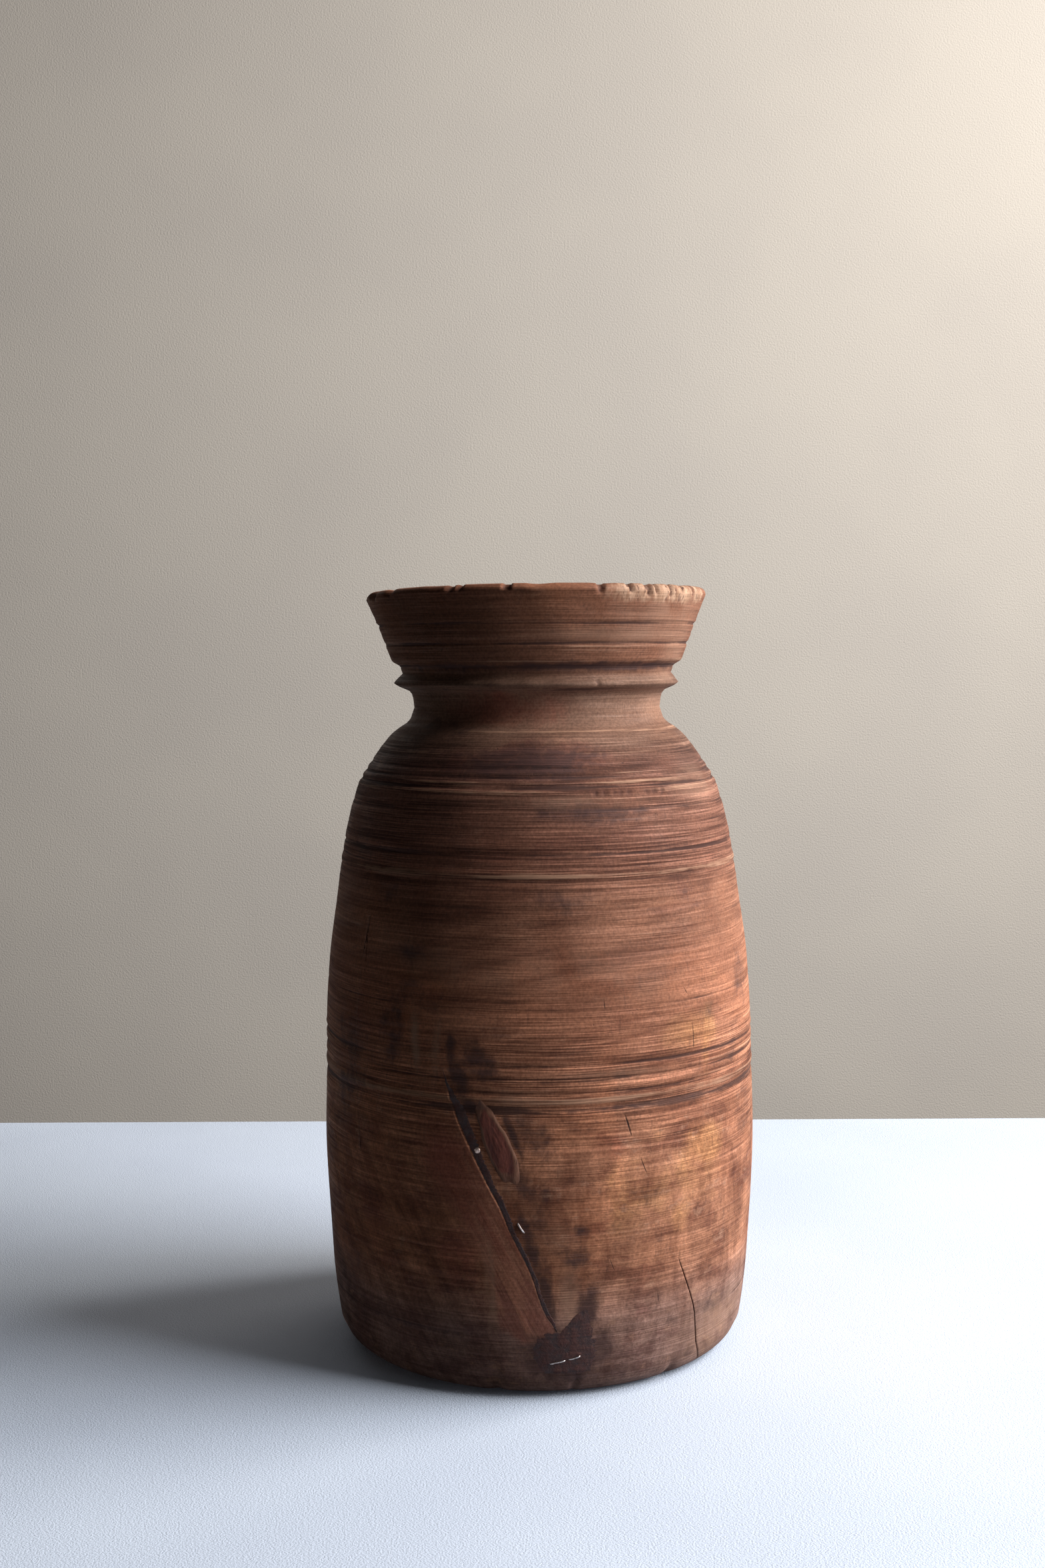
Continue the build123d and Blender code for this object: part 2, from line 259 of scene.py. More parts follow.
class PotShape(bpy.types.PropertyGroup):
    """Sizes that set how worn and how round the pot is."""

    ovality: length_property("Ovality", "How far the dried wood is out of round", 0.0004)
    mark_depth: bpy.props.FloatProperty(
        name="Mark depth", description="Factor on the depth of every turning mark", default=1.0, subtype="FACTOR")
    notch_reach: length_property("Notch reach", "How far a notch cuts into the rim", 0.0014)
    rim_break: length_property("Broken edge", "How much of the rim's outer edge is broken off", 0.0008)
    lip_rise: length_property("Split lip", "How far the split's left lip stands up", 0.0001)
    split_drop: length_property("Split drop", "How deep the wall drops at the split", 0.0002)
    crack_depth: length_property("Crack depth", "Depth of the long drying crack", 0.0005)
    knot_rise: length_property("Knot rise", "How far the knot's crown stands out", 0.00035)
    wire_radius: length_property("Wire radius", "Radius of the staple wire", 0.00032)


def colour_property(name, description, default):
    return bpy.props.FloatVectorProperty(
        name=name, description=description, default=default, subtype="COLOR", size=3, min=0, max=1)


class PotColours(bpy.types.PropertyGroup):
    """Colours of the wood, the repair and the stage, in linear values."""

    belly: colour_property("Belly wood", "Brown of the belly", (0.33, 0.142, 0.081))
    shoulder: colour_property("Shoulder wood", "Darker brown between shoulder and belly", (0.22, 0.09, 0.056))
    neck: colour_property("Neck wood", "Pinkish brown of the neck", (0.28, 0.155, 0.105))
    flare: colour_property("Mouth wood", "Brown of the flared mouth", (0.24, 0.102, 0.059))
    foot: colour_property("Foot wood", "Greyish brown near the foot", (0.25, 0.144, 0.118))
    gold: colour_property("Golden wood", "Golden brown of the bright patches", (0.52, 0.245, 0.112))
    worn: colour_property("Worn wood", "Pale wood on worn ridges and chips", (0.56, 0.36, 0.25))
    red: colour_property("Red wood", "Red-brown patches", (0.3, 0.092, 0.058))
    tongue: colour_property("Tongue", "Smooth golden-brown wood beside the split", (0.45, 0.2, 0.122))
    stain: colour_property("Stain", "Dark purple-brown stains", (0.045, 0.0215, 0.02))
    hollow: colour_property("Hollow", "Dry wood inside the pot", (0.2, 0.125, 0.085))
    pitch: colour_property("Pitch", "Hard dark pitch", (0.038, 0.021, 0.021))
    knot: colour_property("Knot", "Red-brown knot wood", (0.175, 0.056, 0.043))
    wire: colour_property("Wire", "Bright wire", (0.62, 0.56, 0.54))
    nail: colour_property("Nail", "Dull nail head", (0.6, 0.48, 0.42))
    table: colour_property("Table", "Pale bluish-white floor", (0.7, 0.8, 0.97))
    wall: colour_property("Wall", "Plain beige wall", (0.82, 0.78, 0.73))


# ---- shape functions ----
def ease(low, high, value):
    """0 below low, 1 above high, and a smooth S between them."""
    share = np.clip((value - low) / (high - low), 0, 1)
    return share * share * (3 - 2 * share)


def bell(away, power=2):
    """1 where away is 0, falling off smoothly: exp(-|away|^power)."""
    return np.exp(-(np.abs(away) ** power))


def apart(angle, place):
    """Degrees from a place round the axis, -180 to 180."""
    return (angle - place + 180) % 360 - 180


def smooth_through(stations, where):
    """Cubic curve through the stations, with each slope from the neighbours on both sides."""
    x, y = np.array(sorted(stations), float).T
    slope = np.gradient(y, x)
    where = np.clip(where, x[0], x[-1])
    i = np.clip(np.searchsorted(x, where) - 1, 0, len(x) - 2)
    width = x[i + 1] - x[i]
    t = (where - x[i]) / width
    return (
        y[i] * (1 + 2 * t) * (1 - t) ** 2 + y[i + 1] * t * t * (3 - 2 * t)
        + width * (slope[i] * t * (1 - t) ** 2 - slope[i + 1] * t * t * (1 - t))
    )


def straight_through(stations, where):
    x, y = np.array(sorted(stations), float).T
    return np.interp(where, x, y)


def ripple(seed, angle, height=0.0, count=9, slowest=1, fastest=24, height_waves=0.0):
    """Sum of seeded sine waves round the axis, each leaning a little with height; about -1 to 1."""
    draw = np.random.RandomState(seed)
    total = 0.0
    for _ in range(count):
        waves = draw.randint(slowest, fastest)
        total = total + np.cos(
            waves * np.radians(angle) + draw.uniform(-1, 1) * height_waves * np.asarray(height)
            + draw.uniform(0, 2 * np.pi))
    return total / np.sqrt(count) / 1.3


def turned_radius(height):
    """Radius of the unworn wall: quarter ellipse at the foot, smooth belly and neck, straight runs above."""
    foot_top = BELLY[0][1]
    share = 1 - np.clip(height / FOOT_ROUND, 0, 1)
    foot = FOOT_CONTACT + (foot_top - FOOT_CONTACT) * np.sqrt(1 - share**2)
    wall = np.where(height < BELLY[-1][0], smooth_through(BELLY, height), straight_through(COLLAR, height))
    return np.where(height < FOOT_ROUND, foot, wall)


def mark_wear(number, angle):
    """How much of a turning mark is left at each angle, 0.45 to 1.25, different for each mark."""
    return 0.85 + 0.4 * np.clip(ripple(100 + number, angle, fastest=9), -1, 1)


def marks(angle, height):
    """Depth of the turning marks, and the colour strength of grooves and of ridges: bells over the height."""
    depth, groove, ridge = 0.0, 0.0, 0.0
    for number, (place, half, deep, strength) in enumerate(TURNING_MARKS):
        mark = bell((height - place) / half) * mark_wear(number, angle)
        depth = depth + deep * mark
        if deep > 0:
            groove = np.maximum(groove, strength * mark)
        else:
            ridge = np.maximum(ridge, strength * mark)
    return depth, groove, ridge


def patches(places, angle, height):
    """Strongest of several soft leaning ovals at each point: strength times a bell over the oval's radius."""
    field = np.zeros(np.broadcast(angle, height).shape)
    for place, level, half_across, half_up, lean, strength in places:
        across = np.radians(apart(angle, place)) * turned_radius(height)
        up = height - level
        along, aside = cos(radians(lean)), sin(radians(lean))
        oval = ((across * along + up * aside) / half_across) ** 2 + ((up * along - across * aside) / half_up) ** 2
        field = np.maximum(field, strength * np.exp(-0.7 * oval**1.3))
    return field


def from_line(line, angle, height):
    """Millimetres to the right of a line that is given as (height, angle) stations."""
    return np.radians(angle - smooth_through(line, height)) * turned_radius(height)


def split_relief(shape, angle, height):
    """The lip rises towards the split from the left, drops sharply, and the wall comes back up to the right."""
    beside = from_line(SPLIT, angle, height)
    along = ease(24, 32, height) * (1 - ease(112, 124, height)) * (0.35 + 0.65 * ease(58, 82, height))
    lip = shape.lip_rise / MM * np.exp(np.minimum(beside, 0) / 5) * (beside < 0.15)
    drop = shape.split_drop / MM * ease(-0.25, 0.25, beside) * np.exp(-np.maximum(beside, 0) / 6)
    return along * (lip - drop)


def crack_relief(shape, angle, height):
    """A narrow bell-shaped furrow along the long crack, fading out at its top."""
    width = 0.2 + 0.12 * (1 - ease(3, 30, height))
    furrow = bell(from_line(MAIN_CRACK, angle, height) / width)
    return -shape.crack_depth / MM * furrow * (1 - ease(42, 50, height))


def rim_damage(angle):
    """Height of the notch at each angle, and how much of the edge is broken off, 0 to 1.2."""
    draw = np.random.RandomState(21)
    behind = [(draw.uniform(75, 325), draw.uniform(0.8, 1.9), draw.uniform(0.8, 3.2)) for _ in range(17)]
    notch = np.zeros_like(angle)
    for place, half, tall in RIM_NOTCHES + behind:
        across = np.radians(apart(angle, place)) * RIM_RADIUS / half
        notch = np.maximum(notch, tall * np.clip(1.35 - np.abs(across) ** 3, 0, 1))
    broken = 0.0
    for share, start, full, fading, end in (
            (0.75, 14, 30, 66, 84), (0.7, 118, 126, 150, 162), (0.6, -150, -138, -112, -98), (0.18, -40, -30, -6, 0)):
        broken = broken + share * ease(start, full, angle) * (1 - ease(fading, end, angle))
    broken = broken * (0.8 + 0.25 * ripple(5, angle, count=14, slowest=8, fastest=50))
    return notch, np.clip(broken, 0, 1.2)


def rim_height(angle):
    """Top of the rim: worn lower on the left than at the front, and slightly wavy."""
    left = bell(apart(angle, -80) / 42)
    waves = np.minimum(ripple(8, angle, count=12, slowest=4, fastest=40), 0)
    return HEIGHT + 0.35 * np.cos(np.radians(angle - 10)) - 1.1 * left + 0.3 * waves


def bead_hole(angle, height):
    """1 in the small hole in the bead, fading to 0 round it."""
    return bell((angle - BEAD_HOLE[0]) / 0.9) * bell(height - BEAD_HOLE[1])


def shoulder_chips(angle, height):
    """1 in each chip of the shoulder's ridge, fading to 0 round it."""
    chips = 0.0
    for place, half in SHOULDER_CHIPS:
        chips = np.maximum(chips, bell(apart(angle, place) / half, 4) * bell((height - CHIPPED_RIDGE) / 1.1))
    return chips


def wall_radius(shape, angle, height):
    """Radius of the worn wall: the turned form, out of round, less marks, chips and dents, with the split."""
    depth, _, _ = marks(angle, height)
    radius = turned_radius(height) - depth * shape.mark_depth
    radius = radius + shape.ovality / MM * np.cos(2 * np.radians(angle - 60)) * ease(10, 60, height)
    radius = radius + 0.16 * ripple(3, angle, height, count=14, fastest=22, height_waves=0.12) * ease(6, 20, height)
    bead_wear = 0.35 + 0.4 * np.sin(np.radians(angle)) + 0.25 * ripple(11, angle, count=12, slowest=3, fastest=34)
    radius = radius - bell((height - BEAD_TIP) / 1.6) * np.clip(bead_wear, 0, 1.4)
    radius = radius - 0.9 * bead_hole(angle, height) - 0.5 * shoulder_chips(angle, height)
    for place, half, deep in FOOT_DENTS:
        radius = radius - deep * bell(apart(angle, place) / half) * (1 - ease(4, 9.5, height))
    return radius + split_relief(shape, angle, height) + crack_relief(shape, angle, height)


def round_axis(radius, angle, height):
    """Points at these distances from the axis, angles and heights."""
    return np.stack([radius * np.sin(np.radians(angle)), -radius * np.cos(np.radians(angle)),
                     height + 0 * radius], -1)


def on_wall(shape, angle, height, lift):
    """Point over the wall: outwards from the axis by the wall's radius and the lift."""
    return round_axis(wall_radius(shape, angle, height) + lift, angle, height)


def outward(angle):
    """Unit direction that points out of the pot at one angle."""
    return np.array([sin(radians(angle)), -cos(radians(angle)), 0])


# ---- meshes ----
def grid_faces(rows, columns, first, poles, ring):
    """Quads between neighbouring rows and columns, wrapped round, and a fan at each pole."""
    i, j = np.meshgrid(np.arange(rows if ring else rows - 1), np.arange(columns), indexing="ij")
    after = (j + 1) % columns
    above = (i + 1) % rows
    quads = np.stack([i * columns + j, i * columns + after, above * columns + after, above * columns + j], -1)
    faces = (first + quads.reshape(-1, 4)).tolist()
    if poles:
        edge = np.arange(columns)
        turn = (edge + 1) % columns
        bottom, top = rows * columns, rows * columns + 1
        last = (rows - 1) * columns
        faces += (first + np.stack([turn, edge, bottom + 0 * edge], -1)).tolist()
        faces += (first + np.stack([last + edge, last + turn, top + 0 * edge], -1)).tolist()
    return faces


def closed_piece(name, shells, fields=None):
    """Object made of closed shells, each a (grid, ring) pair: a grid of points in millimetres, rows by columns.

    A shell is wrapped along its columns. Its first and last row are closed with a fan round their middle, or
    joined to each other where ring is true. The faces are turned to point outwards by the sign of the volume.
    """
    points, faces = [], []
    for grid, ring in shells:
        rows, columns = grid.shape[:2]
        flat = grid.reshape(-1, 3)
        if not ring:
            flat = np.vstack([flat, grid[0].mean(0), grid[-1].mean(0)])
        own = grid_faces(rows, columns, 0, not ring, ring)
        corners = np.array([face[:3] for face in own] + [[face[0], face[2], face[3]] for face in own if face[3:]])
        a, b, c = (flat[corners[:, k]] for k in range(3))
        if np.einsum("ij,ij->", a, np.cross(b, c)) < 0:
            own = [face[::-1] for face in own]
        start = sum(len(block) for block in points)
        faces += [[start + corner for corner in face] for face in own]
        points.append(flat)
    mesh = bpy.data.meshes.new(name)
    mesh.from_pydata((np.vstack(points) * MM).tolist(), [], faces)
    for field, grid in (fields or {}).items():
        flat = np.append(grid.reshape(-1), [grid[0].mean(), grid[-1].mean()])
        mesh.attributes.new(field, "FLOAT", "POINT").data.foreach_set("value", flat.astype(np.float32))
    mesh.polygons.foreach_set("use_smooth", np.ones(len(mesh.polygons), bool))
    mesh.update()
    piece = bpy.data.objects.new(name, mesh)
    bpy.context.scene.collection.objects.link(piece)
    return piece


def body_columns(height):
    """Angles of the mesh columns at each height: close together in front, and swept along split and crack."""
    front = np.arange(-50, 75, 0.8)
    back = np.linspace(75, 310, 132, endpoint=False)
    split_home, crack_home = -9.0, 42.0
    base = np.concatenate([front, back])
    for home, half in ((split_home, [0.08, 0.25, 0.55, 1.0]), (crack_home, [0.1, 0.25, 0.5])):
        base = base[np.abs(base - home) > 1.1 * half[-1]]
        base = np.concatenate([base, home - np.array(half), home + np.array(half)])
    base = np.sort(np.append(base, crack_home))[None, :]
    height = height[:, None]

    def window(angle, home, half):
        return np.cos(np.clip((angle - home) / half, -1, 1) * np.pi / 2) ** 2

    split_sweep = (smooth_through(SPLIT, height) - split_home) * (1 - ease(132, 205, height))
    angle = base + split_sweep * window(base, split_home, 68)
    at_crack = crack_home + split_sweep * window(crack_home, split_home, 68)
    crack_sweep = (smooth_through(MAIN_CRACK, height) - at_crack) * (1 - ease(49, 85, height))
    return angle + crack_sweep * window(base, crack_home, 30)


def body_rows():
    """Heights of the outer wall's rows: an even spacing, with three or five more across each turning mark."""
    rows = [np.arange(0.6, 5, 0.8), np.arange(5, RIM_BASE, BODY_ROW_STEP), [station[0] for station in COLLAR]]
    rows.append(np.arange(291, RIM_BASE, 0.8))
    for place, half, deep, _ in TURNING_MARKS:
        offsets = (-1.3, -0.6, 0, 0.6, 1.3) if abs(deep) >= DEEP_MARK else (-1.2, 0, 1.2)
        rows.append(place + half * np.array(offsets))
    rows = np.unique(np.round(np.concatenate(rows) / MARK_GRID)) * MARK_GRID
    return rows[(rows > 0.3) & (rows < RIM_BASE - 0.1)]


def body_surface(shape):
    """Grid of the whole body from the middle of the foot, up the wall, over the rim and down to the floor."""
    wall = body_rows()
    rim_turn = np.radians(np.arange(0, 181, 22.5))
    hollow = np.arange(294, 34, -7.5)
    corner = np.radians(np.arange(0, 91, 18))

    # One row each: height, radius where it isn't on the wall, and which part of the body it is on.
    flat_radius = np.array([12, 30, 45, 58, 66, FOOT_CONTACT])
    inner_radius = smooth_through(HOLLOW, hollow)
    corner_radius = HOLLOW[-1][1] - FLOOR_CORNER * (1 - np.cos(corner))
    corner_height = FLOOR + FLOOR_CORNER * (1 - np.sin(corner))
    floor_radius = np.array([42, 27, 12])
    rim_middle = RIM_RADIUS - RIM_WALL / 2
    height = np.concatenate([
        0 * flat_radius, wall, HEIGHT - RIM_ROUND + RIM_ROUND * np.sin(rim_turn), hollow, corner_height,
        FLOOR + 0 * floor_radius])
    plain = np.concatenate([
        flat_radius, 0 * wall, rim_middle + RIM_WALL / 2 * np.cos(rim_turn), inner_radius,
        corner_radius, floor_radius])
    underside, outside, rim, within = 0, 1, 2, 3
    part = np.repeat([underside, outside, rim, within], [
        len(flat_radius), len(wall), len(rim_turn), len(hollow) + len(corner) + len(floor_radius)])[:, None]

    angle = body_columns(height)
    height = height[:, None] + 0 * angle
    radius = np.where(part == outside, wall_radius(shape, angle, height), plain[:, None] + 0 * angle)
    inside = (part == within) | ((part == rim) & (plain[:, None] < rim_middle))
    scrape = 0.12 * ripple(31, 14 * height + 0 * angle, count=5) + 0.25 * ripple(32, angle, count=6, fastest=7)
    radius = radius + np.where((part == within) & (height > FLOOR), scrape, 0)

    # Damage at the rim: the edge is broken off, notches are cut into it, and its top is uneven.
    notch, broken = rim_damage(angle)
    top = rim_height(angle)
    outer = np.clip((radius - RIM_RADIUS) / RIM_WALL + 1, 0, 1) * (part != underside)
    near_top = ease(291.5, 298.5, height) * outer
    torn = 0.5 + 0.5 * np.clip(ripple(6, angle, height, count=16, slowest=20, fastest=90, height_waves=1.2), -1, 1)
    radius = radius - shape.rim_break / MM * broken * near_top * (0.75 + 0.4 * torn)
    cut = ease(-0.9, 0.5, height - (HEIGHT - 0.6 - notch)) * (notch > 0.1) * outer
    radius = radius - shape.notch_reach / MM * cut
    height = height - (HEIGHT - top) * ease(285, 299, height) - 0.9 * cut * ease(297, 299.5, height)

    _, groove, ridge = marks(angle, height)
    on_outside = (part == outside) * 1.0
    past_split = from_line(SPLIT, angle, height)
    border = 1.1 + 2.6 * ease(55, 95, height)
    ragged = height + 2.5 * ripple(71, angle * 6, count=6, slowest=2, fastest=9)
    tongue = ease(-border, border, angle - smooth_through(TONGUE, height)) * (1 - ease(-0.35, 0.1, past_split))
    tongue = tongue * ease(19, 26, ragged) * (1 - ease(88, 109, height))
    lip = bell((past_split + 0.5) / 0.5) * ease(26, 34, height) * (1 - ease(112, 125, height))
    pits = (shoulder_chips(angle, height) + bead_hole(angle, height)) * on_outside
    fields = {
        "groove": groove * on_outside,
        "ridge": ridge * on_outside * (1 - 0.8 * tongue),
        "stain": patches(STAINS_AND_PAINTED_SHADE, angle, height) * on_outside * (1 - 0.75 * tongue * (height > 27)),
        "gold": patches(GOLD, angle, height) * on_outside,
        "pale": patches(PALE_WEAR_AND_PAINTED_LIGHT, angle, height) * on_outside,
        "red": patches(RED, angle, height) * on_outside,
        "tongue": tongue * on_outside,
        "lip": lip * on_outside,
        "broken": np.clip(broken * ease(290.5, 295.5, height) * outer * 1.5, 0, 1),
        "notch": np.clip(cut * 1.4 + pits, 0, 1),
        "inside": inside * ease(2, 6, HEIGHT - height),
        "underside": (part == underside) + 0 * angle,
    }
    return round_axis(radius, angle, height), fields


def laid_strip(shape, line, widths, rise, dive, seed):
    """Band along a line on the wall: domed over its width, with edges that dive into the wood.

    Across it runs the cosine of a turn, so one turn goes over the top and back underneath.
    """
    level = np.linspace(line[0][0], line[-1][0], 150)[:, None]
    turn = np.linspace(0, 2 * np.pi, 28, endpoint=False)[None, :]
    across = np.cos(turn)
    half = smooth_through(widths, level) * (1 + 0.16 * ripple(seed, level * 9, count=10, slowest=4, fastest=40))
    half = half * ease(-1, 6, level - line[-1][0]) * ease(-1, 12, line[0][0] - level) + 0.05
    angle = smooth_through(line, level) + np.degrees((half * (across + 1) - 0.15) / turned_radius(level))
    lumps = 0.07 * ripple(seed + 1, level * 12 + across * 30, count=12, slowest=6, fastest=60)
    over = rise * (1 - across**6) + lumps * (1 - across**2) - dive * across**6
    under = -dive - 1.2 * np.abs(np.sin(turn)) + 0 * over
    return on_wall(shape, angle, level, np.where(np.sin(turn) >= 0, over, under))


def laid_patch(shape, centre, outline, lift, underside=-1.6, rings=14):
    """Closed patch on the wall: polar rings out to an outline and back underneath.

    centre is (angle, height), outline gives (across, up) in millimetres for each direction, and lift gives
    the height over the wall for the share of the way out and the direction.
    """
    direction = np.linspace(0, 2 * np.pi, 96, endpoint=False)[None, :]
    out = np.sin(np.linspace(0.04, 1, rings) * np.pi / 2)[:, None]
    across, up = outline(direction)
    share = np.concatenate([out, out[-2::-3]])
    top = np.arange(len(share))[:, None] < rings
    level = centre[1] + share * up
    angle = centre[0] + np.degrees(share * across / turned_radius(level))
    height_over = np.where(top, lift(share, direction), underside + 0 * direction)
    return on_wall(shape, angle, level, height_over), share + 0 * direction


def tube(shape, route, radius):
    """Round wire along a smooth curve through (angle, height, lift) points; its section keeps one side fixed."""
    route = np.array(route, float)
    knots = np.arange(len(route))
    along = np.linspace(0, len(route) - 1, 90)
    angle, level, lift = (smooth_through(list(zip(knots, column)), along) for column in route.T)
    centre = on_wall(shape, angle, level, lift - WIRE_SINK + radius)
    tangent = np.gradient(centre, axis=0)
    tangent /= np.linalg.norm(tangent, axis=1)[:, None]
    side = np.cross(outward(angle.mean()), centre[-1] - centre[0])
    side = side / np.linalg.norm(side)
    normal = np.cross(side, tangent)
    normal /= np.linalg.norm(normal, axis=1)[:, None]
    turn = np.linspace(0, 2 * np.pi, 16, endpoint=False)[None, :, None]
    return centre[:, None] + radius * (np.cos(turn) * normal[:, None] + np.sin(turn) * side)


def headed_pin(shape, place, stations):
    """Surface of revolution about the line that points out of the wall at this place."""
    lift, radius = np.array(stations).T
    axis = outward(place[0])
    right, up = np.array([-axis[1], axis[0], 0]), np.array([0, 0, 1.0])
    seat = on_wall(shape, np.array(place[0]), np.array(place[1]), 0)
    turn = np.linspace(0, 2 * np.pi, 32, endpoint=False)[None, :, None]
    ring = right * np.cos(turn) + up * np.sin(turn)
    return seat + lift[:, None, None] * axis + radius[:, None, None] * ring


# ---- materials ----
def times(colour, *factor):
    """A colour with each channel multiplied by its factor, or all by one."""
    return tuple(channel * share for channel, share in zip(colour, factor * 3 if len(factor) == 1 else factor))


class Finish:
    """A material's node tree. Each method adds nodes and returns the last one's output."""

    def __init__(self, name, roughness, metallic=0.0, specular=0.3):
        self.material = bpy.data.materials.new(name)
        self.material.use_nodes = True
        self.tree = self.material.node_tree
        self.tree.nodes.clear()
        self.shader = self.tree.nodes.new("ShaderNodeBsdfPrincipled")
        output = self.tree.nodes.new("ShaderNodeOutputMaterial")
        self.tree.links.new(self.shader.outputs["BSDF"], output.inputs["Surface"])
        self.shader.inputs["Roughness"].default_value = roughness
        self.shader.inputs["Metallic"].default_value = metallic
        self.shader.inputs["Specular IOR Level"].default_value = specular
        self.place = self.tree.nodes.new("ShaderNodeTexCoord").outputs["Object"]

    def node(self, kind, inputs=(), **settings):
        node = self.tree.nodes.new(kind)
        for name, value in settings.items():
            setattr(node, name, value)
        for socket, value in dict(inputs).items():
            if isinstance(value, bpy.types.NodeSocket):
                self.tree.links.new(value, node.inputs[socket])
            else:
                node.inputs[socket].default_value = value
        return node

    def finished(self, colour, roughness, relief, depth):
        """Wire up the shader and return the material; depth is in metres for a relief of 1."""
        normal = self.node("ShaderNodeBump", {"Height": relief, "Distance": depth, "Strength": 1.0})
        self.tree.links.new(colour, self.shader.inputs["Base Color"])
        if roughness:
            self.tree.links.new(roughness, self.shader.inputs["Roughness"])
        self.tree.links.new(normal.outputs["Normal"], self.shader.inputs["Normal"])
        return self.material

    def math(self, operation, *values, clamp=False):
        return self.node("ShaderNodeMath", dict(enumerate(values)), operation=operation, use_clamp=clamp).outputs[0]

    def product(self, first, *others):
        for other in others:
            first = self.math("MULTIPLY", first, other)
        return first

    def sum(self, *parts):
        """Sum of (value, weight) parts; a third number is taken off its value first."""
        total = -sum(weight * middle[0] for _, weight, *middle in parts if middle)
        for value, weight, *_ in parts:
            total = self.math("MULTIPLY_ADD", value, weight, total)
        return total

    def spread(self, value, factor):
        """Stretch a value about one half by a factor."""
        return self.math("MULTIPLY_ADD", self.math("SUBTRACT", value, 0.5), factor, 0.5)

    def field(self, name):
        return self.node("ShaderNodeAttribute", attribute_name=name).outputs["Fac"]

    def vector(self, x, y, z):
        return self.node("ShaderNodeCombineXYZ", {"X": x, "Y": y, "Z": z}).outputs[0]

    def noise(self, scale, detail=2.0, rough=0.5, place=None, swirl=0.0):
        """Noise whose features are 1/scale metres long on each axis."""
        stretched = self.node(
            "ShaderNodeVectorMath", {0: place or self.place, 1: scale}, operation="MULTIPLY").outputs[0]
        return self.node("ShaderNodeTexNoise", {
            "Vector": stretched, "Scale": 1.0, "Detail": detail, "Roughness": rough, "Distortion": swirl,
        }).outputs["Fac"]

    def step(self, value, low, high, at_low=0.0, at_high=1.0, curve="SMOOTHSTEP"):
        return self.node("ShaderNodeMapRange", {
            "Value": value, "From Min": low, "From Max": high, "To Min": at_low, "To Max": at_high,
        }, interpolation_type=curve).outputs["Result"]

    def slope(self, value, low, high, at_low=0.0, at_high=1.0):
        return self.step(value, low, high, at_low, at_high, "LINEAR")

    def blend(self, share, a, b):
        return self.node("ShaderNodeMix", {0: share, 2: a, 3: b}).outputs[0]

    def mix(self, share, a, b, blend="MIX"):
        a, b = (c if isinstance(c, bpy.types.NodeSocket) else (*c, 1.0) for c in (a, b))
        return self.node(
            "ShaderNodeMix", {0: share, 6: a, 7: b}, data_type="RGBA", blend_type=blend).outputs[2]

    def tint(self, colour, tone):
        return self.mix(1.0, colour, tone, "MULTIPLY")

    def ramp(self, value, stops):
        node = self.node("ShaderNodeValToRGB", {"Fac": value})
        node.color_ramp.interpolation = "EASE"
        while len(node.color_ramp.elements) < len(stops):
            node.color_ramp.elements.new(0.5)
        for element, (place, colour) in zip(node.color_ramp.elements, stops):
            element.position = place
            element.color = (*colour, 1.0)
        return node.outputs["Color"]

    def tone(self, value, reach, dark, pale):
        """A factor for colours: dark where the value is reach below one half, 1 in the middle, pale above."""
        return self.ramp(value, [(0.5 - reach, dark), (0.5, (1, 1, 1)), (0.5 + reach, pale)])

    def crack(self, angle, level, line, half):
        """1 on a line of (height, angle) stations and 0 beside it, thinning out at both ends.

        half is in millimetres, and one degree of the belly is MM_PER_DEGREE long.
        """
        top, bottom = line[0][0] * MM, line[-1][0] * MM
        lowest, highest = min(a for _, a in line) - 1, max(a for _, a in line) + 1
        curve = self.node("ShaderNodeFloatCurve", {"Value": self.slope(level, bottom, top)})
        points = curve.mapping.curves[0].points
        while len(points) < len(line):
            points.new(0.5, 0.5)
        for point, (height, place) in zip(points, sorted(line)):
            point.location = ((height * MM - bottom) / (top - bottom), (place - lowest) / (highest - lowest))
        curve.mapping.update()
        home = self.slope(curve.outputs[0], 0, 1, lowest, highest)
        away = self.math("ABSOLUTE", self.math("SUBTRACT", angle, home))
        wide = half / MM_PER_DEGREE
        return self.product(
            self.step(away, wide, wide * 0.4), self.step(level, bottom - 0.0004, bottom + 0.0015),
            self.step(level, top + 0.0004, top - 0.003))


